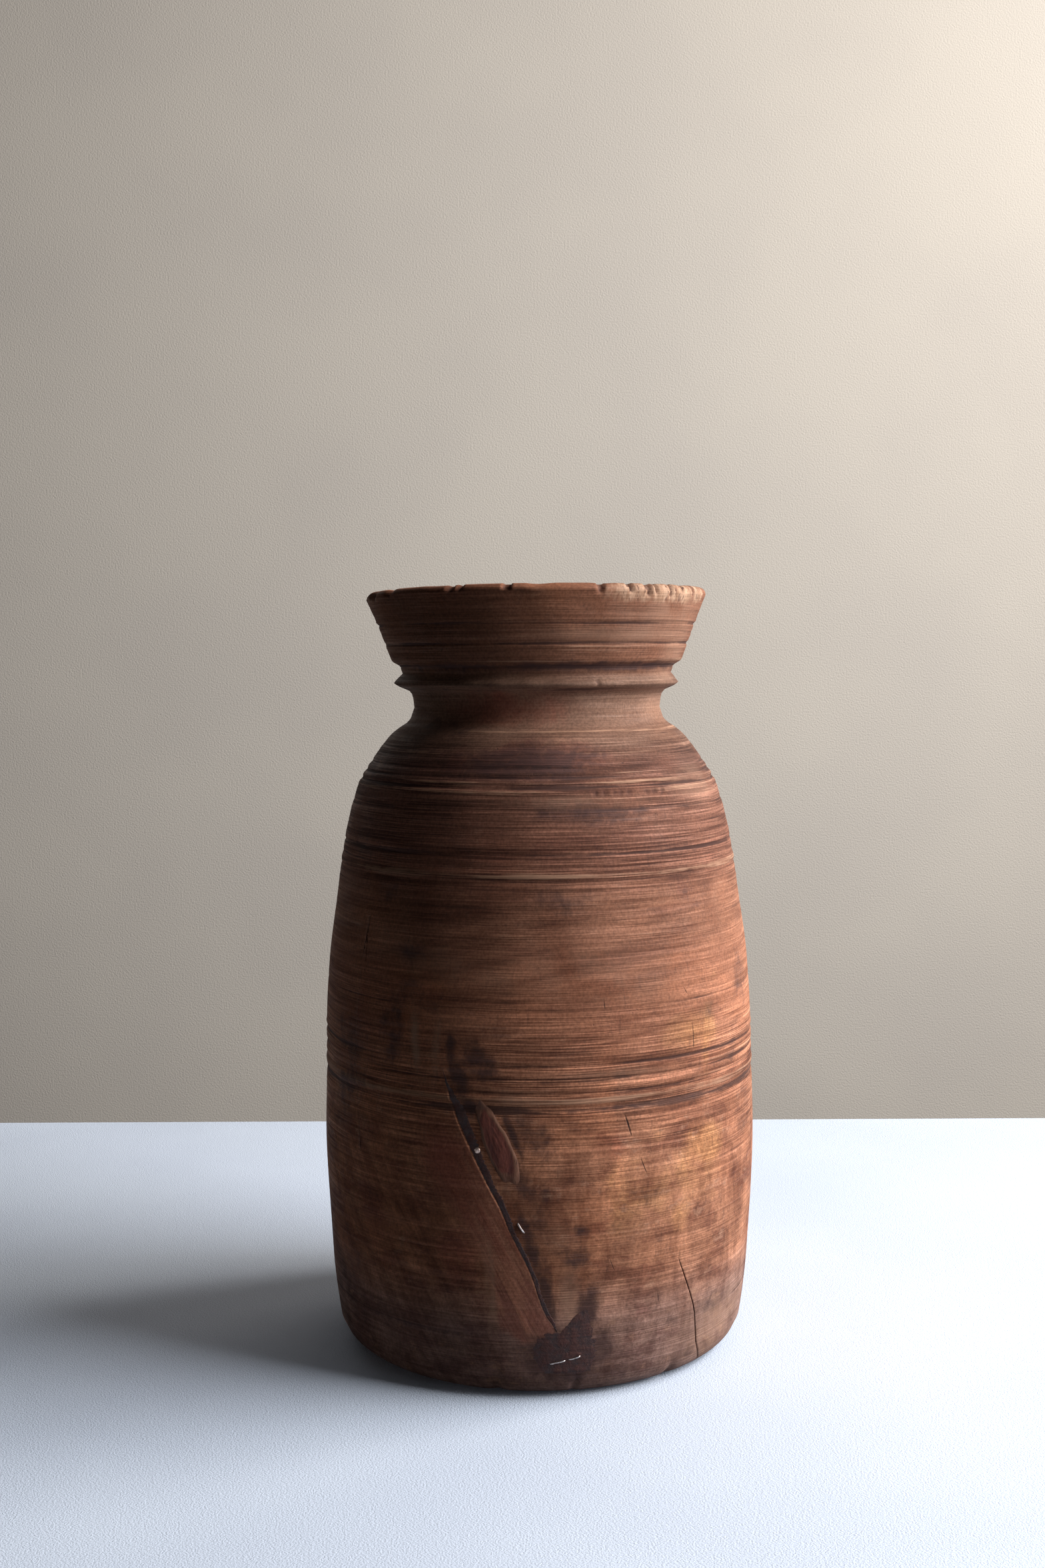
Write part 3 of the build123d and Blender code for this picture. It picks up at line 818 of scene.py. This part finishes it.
def body_finish(colours):
    """Dry turned wood: colour by height, lines round the axis, figure, patches, stains and wear."""
    f = Finish("turned_body_wood", 0.8)
    xyz = f.node("ShaderNodeSeparateXYZ", {0: f.place})
    x, y, level = (xyz.outputs[axis] for axis in "XYZ")
    around = f.product(f.math("ARCTAN2", x, f.product(y, -1.0)), degrees(1))
    share_up = f.slope(level, 0.0, 0.3)
    tongue = f.field("tongue")

    # Lines left by the tool, in four sizes. They are strongest at the shoulder and round the middle of the
    # belly, and worn away in places.
    fine = f.step(f.noise((22, 22, 1600), 3, 0.6), 0.42, 0.61)
    middle = f.step(f.noise((20, 20, 600), 2), 0.4, 0.65)
    broad = f.step(f.noise((8, 8, 170), 2), 0.36, 0.64)
    hair = f.noise((60, 60, 3000), 2)
    mottle = f.noise((60, 60, 48), 5, 0.62, swirl=0.7)
    cloud = f.noise((17, 17, 15), 3, 0.5, swirl=0.8)
    lines = f.sum((fine, 0.52), (middle, 0.25), (broad, 0.07), (hair, 0.13), (1.0, 0.03))
    share = f.ramp(share_up, [(place, (bright, bright, bright)) for place, bright in LINE_SHARE])
    share = f.product(share, f.step(mottle, 0.3, 0.6, 0.6, 1.15))
    grain = f.spread(lines, share)

    # The wood's own figure: leaning bands over the belly, flames low down, and grain that sweeps down along
    # the split on its left.
    band_place = f.vector(x, y, f.sum((level, 1.0), (x, -0.2)))
    bands = f.noise((13, 13, 150), 3, 0.55, place=band_place, swirl=0.4)
    flames = f.noise((120, 120, 34), 4, 0.6, swirl=0.5)
    sweep_place = f.vector(f.sum((x, 0.9), (level, 0.44)), y, f.sum((level, 0.9), (x, -0.44)))
    sweep = f.noise((230, 60, 22), 3, 0.55, place=sweep_place, swirl=0.3)
    fibre = f.noise((800, 300, 60), 3, 0.6, place=sweep_place)
    low = f.step(level, 0.112, 0.085)
    left = f.product(low, f.step(f.sum((x, 1.0), (level, 0.4)), 0.02, -0.02))
    figure = f.blend(left, f.blend(low, bands, flames), sweep)
    smooth_grain = f.sum((f.step(sweep, 0.3, 0.7), 0.216), (fibre, 0.144), (grain, 0.25), (1.0, 0.195))
    grain = f.blend(tongue, grain, smooth_grain)

    colour = f.ramp(share_up, [(place, times(getattr(colours, zone), *factor)) for place, zone, *factor in ZONES])
    gold = f.step(f.sum((f.field("gold"), 1.0), (mottle, 1.5, 0.5)), 0.2, 0.95)
    colour = f.mix(gold, colour, colours.gold)
    red = f.step(f.sum((f.field("red"), 1.0), (mottle, 1.3, 0.5)), 0.25, 0.95)
    colour = f.mix(f.product(red, 0.75), colour, colours.red)
    drift = f.tone(cloud, 0.2, (0.78, 0.7, 0.67), (1.2, 1.15, 1.08))
    colour = f.tint(colour, drift)
    figure = f.spread(figure, f.step(level, 0.2, 0.17, 0.5, 1.3))
    colour = f.tint(colour, f.tone(figure, 0.22, (0.68, 0.62, 0.6), (1.32, 1.36, 1.38)))

    # Patina: ragged blotches and pale scuffs, large and clear near the foot, long and faint above.
    blotches = f.noise((40, 40, 92), 6, 0.7, swirl=0.25)
    drawn_out = f.noise((26, 26, 110), 5, 0.66, swirl=0.3)
    lower = f.step(level, 0.118, 0.096)
    patina = f.spread(f.blend(lower, drawn_out, blotches), f.slope(lower, 0, 1, 0.5, 1.45))
    colour = f.tint(colour, f.tone(patina, 0.16, (0.62, 0.54, 0.54), (1.34, 1.38, 1.4)))
    scuffs = f.step(f.noise((110, 110, 190), 6, 0.72), 0.56, 0.68)
    scuffs = f.product(scuffs, f.slope(lower, 0, 1, 0.12, 0.5))
    colour = f.mix(scuffs, colour, times(colours.worn, 0.85, 0.74, 0.72))

    # The smooth tongue: golden low down, redder upwards, dark at its lower end.
    reddening = f.step(f.sum((level, 9.0), (sweep, 1.6, 0.5)), 0.2, 0.85)
    smooth_wood = f.mix(reddening, times(colours.tongue, 1.25, 1.26, 1.35), times(colours.red, 1.0, 1.05, 1.1))
    dark_end = f.step(f.sum((level, 10.0), (sweep, 1.0, 0.5)), 0.46, 0.34)
    smooth_wood = f.mix(dark_end, smooth_wood, times(colours.tongue, 0.66, 0.56, 0.66))
    colour = f.mix(f.product(tongue, f.step(blotches, 0.35, 0.6, 0.5, 0.85)), colour, smooth_wood)

    colour = f.tint(colour, f.tone(grain, 0.4, (0.42, 0.36, 0.35), (1.75, 1.83, 1.9)))
    grit = f.noise((1100, 1100, 900), 2, 0.6)
    colour = f.tint(colour, f.ramp(grit, [(0.32, (0.82, 0.81, 0.81)), (0.68, (1.18, 1.19, 1.2))]))
    pores = f.step(f.noise((900, 900, 110), 3, 0.6), 0.6, 0.72)
    colour = f.mix(f.product(pores, 0.3), colour, colours.stain)

    # Wear: pale patches and ridges, and dirt in the grooves, which is painted shade in the deep groove between the
    # bead and the flare. Some pale patches are painted light on the right of the flared mouth.
    spotty = f.noise((200, 200, 900), 3, 0.6)
    dashes = f.noise((45, 45, 260), 3, 0.6)
    pale = f.math("MULTIPLY", f.field("pale"), f.step(mottle, 0.25, 0.6), clamp=True)
    colour = f.mix(f.product(pale, 0.8), colour, times(colours.worn, 0.85, 0.78, 0.78))
    worn = f.sum((f.field("ridge"), 1.1), (spotty, 0.7, 0.5), (dashes, 0.9, 0.5), (lines, 0.75, 0.5))
    colour = f.mix(f.product(f.step(worn, 0.25, 0.95), 0.8), colour, times(colours.worn, 0.9, 0.8, 0.76))
    groove_dirt_and_painted_shade = f.sum((f.field("groove"), 1.0), (spotty, -0.7, 0.5), (dashes, -1.3, 0.5), (lines, -0.5, 0.5))
    colour = f.mix(f.product(f.step(groove_dirt_and_painted_shade, 0.25, 0.9), 0.85), colour, times(colours.stain, 1.25, 1.1, 0.95))

    # Stains with ragged borders, in which the lines stay faintly visible. The same field holds painted shade under
    # the collar, on the neck under the flare and in the hollow between the bead and the flare.
    patchy = f.noise((150, 150, 120), 5, 0.65, swirl=0.8)
    stain = f.sum((f.field("stain"), 1.0), (mottle, 1.1, 0.5), (patchy, 1.0, 0.5), (grain, 0.45, 0.5))
    stained = f.tint(colours.stain, f.ramp(grain, [(0.2, (0.7, 0.7, 0.7)), (0.8, (1.8, 1.7, 1.7))]))
    colour = f.mix(f.product(f.step(stain, 0.22, 0.85), 0.9), colour, stained)
    lip = f.product(f.field("lip"), f.step(dashes, 0.4, 0.6, 0.05, 0.3), f.step(level, 0.07, 0.09))
    colour = f.mix(lip, colour, times(colours.worn, 0.62, 0.5, 0.46))
    flecks = f.product(f.step(f.noise((330, 330, 420), 3, 0.7), 0.68, 0.76), f.step(cloud, 0.4, 0.6))
    colour = f.mix(f.product(flecks, 0.7), colour, colours.stain)

    # Broken edge and notches of the rim.
    torn = f.noise((420, 420, 120), 3, 0.7)
    fresh = f.mix(f.step(torn, 0.35, 0.65), times(colours.worn, 0.7, 0.62, 0.56), times(colours.worn, 1.15))
    slits = f.step(f.noise((620, 620, 60), 2, 0.6), 0.56, 0.66)
    fresh = f.mix(f.product(slits, 0.75), fresh, times(colours.stain, 1.6, 1.4, 1.2))
    broken = f.step(f.sum((f.field("broken"), 1.0), (torn, 0.7, 0.5)), 0.2, 0.95)
    colour = f.mix(f.product(broken, 0.9), colour, fresh)
    # Notches, chips of the shoulder's ridge and the hole in the bead are darkened: painted shade in these recesses.
    colour = f.mix(f.product(f.field("notch"), 0.65), colour, times(colours.stain, 1.8, 1.5, 1.3))

    # Hollow, and underside with the block's growth rings, which aren't centred on the pot.
    hollow = f.mix(lines, times(colours.hollow, 0.6, 0.56, 0.52), times(colours.hollow, 1.4, 1.45, 1.5))
    colour = f.mix(f.field("inside"), colour, f.tint(hollow, drift))
    heart = f.node("ShaderNodeVectorMath", {0: f.place, 1: (0.021, -0.014, 0.0)}, operation="SUBTRACT").outputs[0]
    rings = f.node("ShaderNodeTexWave", {
        "Vector": heart, "Scale": 130.0, "Distortion": 3.0, "Detail": 2.0, "Detail Scale": 0.8,
    }, wave_type="RINGS", rings_direction="Z").outputs["Fac"]
    under = f.mix(rings, times(colours.foot, 0.6, 0.55, 0.5), times(colours.foot, 1.15))
    colour = f.mix(f.field("underside"), colour, f.tint(under, drift))

    # Cracks are dark lines that also go down in the bump.
    cracks = f.crack(around, level, MAIN_CRACK, MAIN_CRACK_HALF)
    for line, half in SMALL_CRACKS:
        cracks = f.math("MAXIMUM", cracks, f.crack(around, level, line, half))
    outside = f.math("SUBTRACT", 1.0, f.field("inside"))
    cracks = f.product(cracks, outside, f.step(patchy, 0.3, 0.55, 0.35, 1.0))
    colour = f.mix(f.product(cracks, 0.9), colour, times(colours.stain, 0.5, 0.4, 0.4))

    roughness = f.step(f.sum((lines, 0.5), (mottle, 0.5)), 0.2, 0.8, 0.9, 0.62)
    relief = f.sum((grain, 1.0), (fibre, 0.12), (cracks, -1.2), (flecks, -0.4))
    return f.finished(colour, roughness, relief, 0.0003)


def pitch_finish(colours):
    """Hard pitch: nearly black, lumpy, with worn brownish spots and a dull shine."""
    f = Finish("hard_pitch", 0.6)
    lumps = f.noise((300, 300, 260), 4, 0.6)
    dust = f.noise((900, 900, 900), 3, 0.7)
    colour = f.mix(f.step(lumps, 0.35, 0.7), colours.pitch, times(colours.pitch, 2.4, 2.0, 1.9))
    colour = f.mix(f.product(f.step(dust, 0.6, 0.72), 0.6), colour, times(colours.worn, 0.4, 0.33, 0.3))
    lines = f.noise((16, 16, 1500), 3, 0.65)
    colour = f.tint(colour, f.ramp(lines, [(0.3, (0.75, 0.75, 0.75)), (0.7, (1.4, 1.35, 1.3))]))
    return f.finished(colour, f.step(lumps, 0.3, 0.7, 0.5, 0.8), f.sum((lumps, 1.0), (dust, 0.3)), 0.0004)


def knot_finish(colours):
    """Knot wood: red-brown core with growth rings, a pale outline and a dark border."""
    f = Finish("knot_wood", 0.62)
    wander = f.noise((260, 260, 120), 3, 0.6)
    ragged = f.sum((f.field("out"), 1.0), (wander, 0.28, 0.5))
    rings = f.math("SINE", f.product(ragged, 26.0))
    streaks = f.noise((420, 420, 75), 4, 0.6, swirl=0.4)
    core = f.mix(f.step(streaks, 0.3, 0.7), times(colours.knot, 0.55, 0.5, 0.5), times(colours.knot, 1.6, 1.6, 1.55))
    core = f.mix(f.product(f.step(rings, 0.2, 1.0), 0.1), core, times(colours.knot, 0.4, 0.35, 0.35))
    outline = f.product(f.step(ragged, 0.62, 0.74), f.step(streaks, 0.3, 0.6, 0.55, 1.0))
    colour = f.mix(outline, core, times(colours.worn, 0.42, 0.32, 0.3))
    colour = f.mix(f.step(ragged, 0.88, 1.0), colour, colours.pitch)
    speck = f.noise((800, 800, 300), 3, 0.7)
    colour = f.mix(f.product(f.step(speck, 0.58, 0.7), 0.5), colour, times(colours.stain, 0.8, 0.6, 0.6))
    relief = f.sum((rings, 0.06), (streaks, 0.6), (speck, 0.5))
    return f.finished(colour, f.step(speck, 0.3, 0.7, 0.5, 0.75), relief, 0.0003)


def metal_finish(name, colour, roughness):
    """Worn metal: bright where it was rubbed, brown with old rust in small spots."""
    f = Finish(name, roughness, 1.0, 0.5)
    rub = f.noise((1400, 1400, 1400), 3, 0.6)
    worn = f.mix(f.step(rub, 0.35, 0.62), times(colour, 0.35, 0.28, 0.25), colour)
    return f.finished(worn, f.step(rub, 0.3, 0.7, roughness + 0.2, roughness - 0.05), rub, 0.00008)


def stage_finish(name, colour, blotch, tooth, depth):
    """Plain matt surface with faint blotches and a fine tooth."""
    f = Finish(name, 0.9, 0.0, 0.15)
    clouds = f.noise((blotch, blotch, blotch), 4, 0.5)
    faint = f.mix(f.step(clouds, 0.3, 0.7), times(colour, 0.95, 0.95, 0.96), colour)
    return f.finished(faint, None, f.noise((tooth, tooth, tooth), 2), depth)


def place_piece(piece, node, material):
    """Give a piece its finish and tie it to the frame."""
    piece.data.materials.append(material)
    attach(piece, "root")
    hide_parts(node)


# ---- operators: one for each piece or group of like pieces ----
class POT_OT_turned_body(bpy.types.Operator):
    """Build the turned body with its worn wall, rim and hollow"""

    bl_idname = "pot.turned_body"
    bl_label = "Turned body"

    def execute(self, context):
        points, fields = body_surface(context.scene.pot_shape)
        body = closed_piece("pot_body", [(points, False)], fields)
        place_piece(body, "turned_body", body_finish(context.scene.pot_colours))
        return {"FINISHED"}


class POT_OT_split_pitch(bpy.types.Operator):
    """Lay dark pitch in the split, under the knot and in a blot at the foot"""

    bl_idname = "pot.split_pitch"
    bl_label = "Split pitch"

    def execute(self, context):
        shape = context.scene.pot_shape
        seam = laid_strip(shape, SPLIT, SPLIT_WIDTH, 0.12, 0.8, 41)

        def blot_outline(direction):
            turn = np.degrees(direction)
            reach = smooth_through([(a + whole, r) for whole in (-360, 0, 360) for a, r in BLOT], turn)
            reach = reach * (1 + 0.05 * ripple(51, turn, count=12, slowest=7, fastest=40)) * BLOT_SCALE
            low = np.clip(-np.sin(direction), 0, 1)
            return reach * np.cos(direction), reach * np.sin(direction) * (1 - 0.12 * low)

        def blot_lift(share, direction):
            lumps = 0.05 * ripple(52, share * 300 + np.degrees(direction), count=10, slowest=3, fastest=20)
            return (BLOT_SKIN + lumps) * (1 - share**5) - 0.5 * share**5

        blot, _ = laid_patch(shape, BLOT_CENTRE, blot_outline, blot_lift)
        bed, _ = laid_patch(shape, KNOT_PLACE, lambda d: knot_outline(d, PITCH_BED), lambda s, d: 0.12 - 0.7 * s**6)
        pitch = closed_piece("pitch_filling", [(seam, False), (blot, False), (bed, False)])
        place_piece(pitch, "split_pitch", pitch_finish(context.scene.pot_colours))
        return {"FINISHED"}


def knot_outline(direction, scale=1.0):
    """Leaning oval, slightly pointed at its top and uneven round its edge."""
    lean = radians(KNOT_LEAN)
    uneven = 1 + 0.05 * ripple(61, np.degrees(direction), count=8, slowest=2, fastest=12)
    across = KNOT_HALF[0] * scale * np.cos(direction) * (1 - 0.22 * np.sin(direction)) * uneven
    up = (KNOT_HALF[1] + KNOT_HALF[0] * (scale - 1)) * np.sin(direction) * uneven
    return across * np.cos(lean) - up * np.sin(lean), across * np.sin(lean) + up * np.cos(lean)


class POT_OT_knot_plug(bpy.types.Operator):
    """Set the oval branch knot in its bed of pitch"""

    bl_idname = "pot.knot_plug"
    bl_label = "Knot plug"

    def execute(self, context):
        rise = context.scene.pot_shape.knot_rise / MM

        def lift(share, direction):
            ring = 0.03 * np.sin(share * 21) + 0.07 * np.exp(-(((share - 0.78) / 0.1) ** 2))
            return 0.12 + rise * (1 - share**2) + ring - 0.75 * share**12

        knot, out = laid_patch(context.scene.pot_shape, KNOT_PLACE, knot_outline, lift, rings=24)
        piece = closed_piece("branch_knot", [(knot, False)], {"out": out})
        place_piece(piece, "knot_plug", knot_finish(context.scene.pot_colours))
        return {"FINISHED"}


class POT_OT_wire_staples(bpy.types.Operator):
    """Bend the two wire staples over the split"""

    bl_idname = "pot.wire_staples"
    bl_label = "Wire staples"

    def execute(self, context):
        shape = context.scene.pot_shape
        material = metal_finish("staple_wire", context.scene.pot_colours.wire, 0.35)
        staples = (("wire_at_foot", "foot_staple", FOOT_WIRE), ("wire_at_seam", "seam_staple", SEAM_WIRE))
        for name, node, route in staples:
            piece = closed_piece(name, [(tube(shape, route, shape.wire_radius / MM), False)])
            place_piece(piece, node, material)
        return {"FINISHED"}


class POT_OT_seam_nail(bpy.types.Operator):
    """Drive the small round-headed nail into the pitch"""

    bl_idname = "pot.seam_nail"
    bl_label = "Seam nail"

    def execute(self, context):
        nail = closed_piece("round_headed_nail", [(headed_pin(context.scene.pot_shape, NAIL_PLACE, NAIL), False)])
        place_piece(nail, "seam_nail", metal_finish("nail_metal", context.scene.pot_colours.nail, 0.45))
        return {"FINISHED"}


def plane(name, low, high, material):
    """Flat stage rectangle with its near edge at low and its far edge at high."""
    (x0, y0, z0), (x1, y1, z1) = low, high
    mesh = bpy.data.meshes.new(name)
    mesh.from_pydata([(x0, y0, z0), (x1, y0, z0), (x1, y1, z1), (x0, y1, z1)], [], [(0, 1, 2, 3)])
    mesh.materials.append(material)
    piece = bpy.data.objects.new(name, mesh)
    bpy.context.scene.collection.objects.link(piece)
    return piece


def soft_light(name, place, target, size, power, colour, spread):
    """Rectangular light at a place, turned towards a target, that the camera doesn't see."""
    light = bpy.data.lights.new(name, "AREA")
    light.shape = "RECTANGLE"
    light.size, light.size_y = size
    light.energy = power
    light.color = colour
    light.spread = radians(spread)
    lamp = bpy.data.objects.new(name, light)
    lamp.location = place
    lamp.rotation_euler = (Vector(target) - Vector(place)).to_track_quat("-Z", "Y").to_euler()
    lamp.visible_camera = False
    bpy.context.scene.collection.objects.link(lamp)


class POT_OT_stage(bpy.types.Operator):
    """Set the pale table, the plain wall, the soft window light and the camera"""

    bl_idname = "pot.stage"
    bl_label = "Stage"

    def execute(self, context):
        scene, colours = context.scene, context.scene.pot_colours
        table = plane("table_top", (-1.6, -1.2, -0.0002), (1.6, 0.32, -0.0002),
                      stage_finish("pale_table", colours.table, 9.0, 1500.0, 0.0003))
        table.visible_diffuse = False
        plane("back_wall", (-3, 1.45, -0.6), (3, 1.45, 2.6),
              stage_finish("beige_wall", colours.wall, 5.0, 500.0, 0.0005))
        for light in LIGHTS:
            soft_light(*light)
        scene.world = bpy.data.worlds.new("dim_room")
        scene.world.use_nodes = True
        background = scene.world.node_tree.nodes["Background"]
        background.inputs["Color"].default_value = ROOM_COLOUR
        background.inputs["Strength"].default_value = ROOM_STRENGTH
        scene.view_settings.view_transform = "Standard"

        camera = bpy.data.cameras.new("camera")
        camera.lens, camera.sensor_width = CAMERA_LENS, 36.0
        viewer = bpy.data.objects.new("camera", camera)
        viewer.location = CAMERA_PLACE
        viewer.rotation_euler = [radians(turn) for turn in CAMERA_TURN]
        scene.collection.objects.link(viewer)
        scene.camera = viewer
        return {"FINISHED"}


class POT_PT_panel(bpy.types.Panel):
    """Sizes, colours and steps of the pot"""

    bl_idname = "POT_PT_panel"
    bl_label = "Turned pot"
    bl_space_type = "VIEW_3D"
    bl_region_type = "UI"
    bl_category = "Pot"

    def draw(self, context):
        for group in (context.scene.pot_shape, context.scene.pot_colours):
            for name in group.__annotations__:
                self.layout.prop(group, name)
        for operator in OPERATORS:
            self.layout.operator(operator.bl_idname)


OPERATORS = (
    POT_OT_stage, POT_OT_turned_body, POT_OT_split_pitch, POT_OT_knot_plug, POT_OT_wire_staples, POT_OT_seam_nail,
)
CLASSES = (PotShape, PotColours, *OPERATORS, POT_PT_panel)


def register():
    for cls in CLASSES:
        bpy.utils.register_class(cls)
    bpy.types.Scene.pot_shape = bpy.props.PointerProperty(type=PotShape)
    bpy.types.Scene.pot_colours = bpy.props.PointerProperty(type=PotColours)


def unregister():
    del bpy.types.Scene.pot_colours
    del bpy.types.Scene.pot_shape
    for cls in reversed(CLASSES):
        bpy.utils.unregister_class(cls)


def main():
    register()
    bpy.ops.pot.stage()
    bpy.ops.pot.turned_body()
    bpy.ops.pot.split_pitch()
    bpy.ops.pot.knot_plug()
    bpy.ops.pot.wire_staples()
    bpy.ops.pot.seam_nail()


if __name__ == "__main__":
    main()
